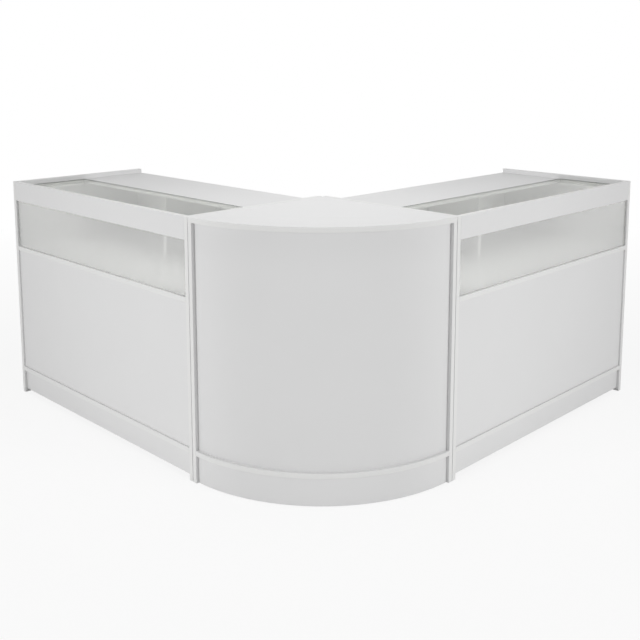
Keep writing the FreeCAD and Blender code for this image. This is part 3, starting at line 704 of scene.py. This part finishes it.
# %% Fittings on their places
def set_fittings(name, node, rings, places):
    """Set a fitting, drawn by its rings, on its places, as one piece in the place of a CAD node."""
    drawn_once = new_object(name + " drawn once", loft(name + " drawn once", rings))
    mesh = bpy.data.meshes.new(name)
    mesh.from_pydata([place for place, _ in places], [], [])
    ways = mesh.attributes.new("facing", "FLOAT_VECTOR", "POINT")
    ways.data.foreach_set("vector", [number for _, way in places for number in way])
    obj = new_object(name, mesh)
    modifier = obj.modifiers.new("fittings on points", "NODES")
    modifier.node_group = fitting_tree
    set_inputs(modifier, {"Fitting": drawn_once, "Size of one unit": MM, "Finish": finish_of(node)})
    settle(obj)
    bpy.data.objects.remove(drawn_once)
    stand_for(obj, node)
    low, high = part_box(node)
    heights = [vertex.co.z for vertex in obj.data.vertices]
    print(name, "z", round(min(heights), 4), "to", round(max(heights), 4), "m")
    print(node, "in CAD z", round(low.z, 4), "to", round(high.z, 4), "m")


set_fittings("turned_shelf_pins", "shelf_pins", PIN, pin_places)
set_fittings("cross_head_joining_screws", "joining_screws", SCREW, screw_places)
set_fittings("moulded_floor_glides", "floor_glides", GLIDE, glide_places)

# %% [markdown]
# ## White surroundings
# The photograph stands the set on white, in light so soft that it has hardly any shadow. The world gives part
# of that light, evenly from all sides. A world bright enough to look white would wash the set out, so Light
# Path tells the rays apart: what the camera, the gloss and the glass see behind the set is plain white, and
# the boards are lit by less.

# %% World
WORLD_LIGHT = 0.42


def seen_by_eye(tree):
    """One for rays from the camera, off gloss and through glass, and zero for the rest."""
    ray = add_node(tree, "ShaderNodeLightPath")
    straight_or_gloss = add_node(tree, "ShaderNodeMath", {
        0: ray.outputs["Is Camera Ray"], 1: ray.outputs["Is Glossy Ray"]}, operation="MAXIMUM")
    or_through_glass = add_node(tree, "ShaderNodeMath", {
        0: straight_or_gloss.outputs[0], 1: ray.outputs["Is Transmission Ray"]}, operation="MAXIMUM")
    return or_through_glass.outputs[0]


world = bpy.data.worlds.new("white studio")
bpy.context.scene.world = world
world.use_nodes = True
sky = world.node_tree
sky.nodes.clear()
lighting = add_node(sky, "ShaderNodeBackground", {"Color": (1, 1, 1, 1), "Strength": WORLD_LIGHT})
white = add_node(sky, "ShaderNodeBackground", {"Color": (1, 1, 1, 1), "Strength": 1.0})
chosen = add_node(sky, "ShaderNodeMixShader", {
    0: seen_by_eye(sky), 1: lighting.outputs[0], 2: white.outputs[0]})
add_node(sky, "ShaderNodeOutputWorld", {"Surface": chosen.outputs[0]})
print("world light", WORLD_LIGHT)

# %% [markdown]
# ## The floor
# In the photograph the floor runs into the white behind the set. A plain white floor would turn grey where
# the light falls off, so this one glows for the eye: wholly from a few metres away, and near the set a little
# less, so that a faint shadow still stands the set on the ground.

# %% Floor
FLOOR_SIZE = 60
FLOOR_WHITE = "#f6f6f6"
NEAR_GLOW = 0.86  # the share of the glow near the set
NEAR, FAR = 1.6, 4.5  # how far from the middle the glow begins to grow, and where it is full

# To the eye: matt paper without an end, with a breath of shadow on it.
floor_finish, tree = new_finish("pale_studio_floor")
place = add_node(tree, "ShaderNodeTexCoord")
away = add_node(tree, "ShaderNodeVectorMath", {0: place.outputs["Object"]}, operation="LENGTH")
glow_share = add_node(tree, "ShaderNodeMapRange", {
    "Value": away.outputs["Value"], "From Min": NEAR, "From Max": FAR, "To Min": NEAR_GLOW, "To Max": 1.0})
share = add_node(tree, "ShaderNodeMath", {
    0: seen_by_eye(tree), 1: glow_share.outputs[0]}, operation="MULTIPLY")
matt = add_node(tree, "ShaderNodeBsdfDiffuse", {"Color": colour(FLOOR_WHITE)})
glow = add_node(tree, "ShaderNodeEmission", {"Color": (1, 1, 1, 1), "Strength": 1.0})
both = add_node(tree, "ShaderNodeMixShader", {0: share.outputs[0], 1: matt.outputs[0], 2: glow.outputs[0]})
add_node(tree, "ShaderNodeOutputMaterial", {"Surface": both.outputs[0]})

bpy.ops.mesh.primitive_plane_add(size=FLOOR_SIZE)
floor = bpy.context.object
floor.name = "studio_floor"
floor.data.materials.append(floor_finish)
print("floor", FLOOR_SIZE, "m wide")

# %% [markdown]
# ## The soft boxes
# Two soft boxes face the two counter fronts from far off and a little to the outside, so that the curve
# between them falls darker in its middle. They stand above the counter, so that their light also runs along
# the tops to the far ends. A grid keeps their beam on the corner, and the outer ends a shade darker. The
# windows would mirror these two as hard white patches, so gloss and glass don't see them. A third box hangs
# above, and a fourth stands low on the staff side, where the photograph doesn't see, for the other views.

# %% Soft boxes
NO_GRID = 180
# name, place, aim, sides, watts, how many degrees its grid lets it spread, and whether it is mirrored
LAMPS = [
    ("left soft box", (-6.83, 1.55, 1.4), (-0.9, -0.45, 0.75), (1.8, 1.1), 12.8, 50, False),
    ("right soft box", (1.55, -6.83, 1.4), (-0.45, -0.9, 0.75), (1.8, 1.1), 12.8, 50, False),
    ("overhead soft box", (-0.5, -0.5, 2.4), (-0.5, -0.5, 0.9), (1.3, 1.3), 7.5, 140, True),
    ("staff side soft box", (2.3, 2.3, 0.5), (0.0, 0.0, 0.5), (2.6, 0.7), 40, NO_GRID, True),
]
for name, place, aim, sides, watts, spread, mirrored in LAMPS:
    data = bpy.data.lights.new(name, "AREA")
    data.shape = "RECTANGLE"
    data.size, data.size_y = sides
    data.energy = watts
    data.spread = math.radians(spread)
    lamp = bpy.data.objects.new(name, data)
    lamp.location = place
    lamp.rotation_euler = (Vector(aim) - Vector(place)).to_track_quat("-Z", "Y").to_euler()
    lamp.visible_camera = False
    lamp.visible_glossy = lamp.visible_transmission = mirrored
    bpy.context.collection.objects.link(lamp)
bpy.context.scene.view_settings.view_transform = "Standard"
print("lamps", [lamp[0] for lamp in LAMPS])
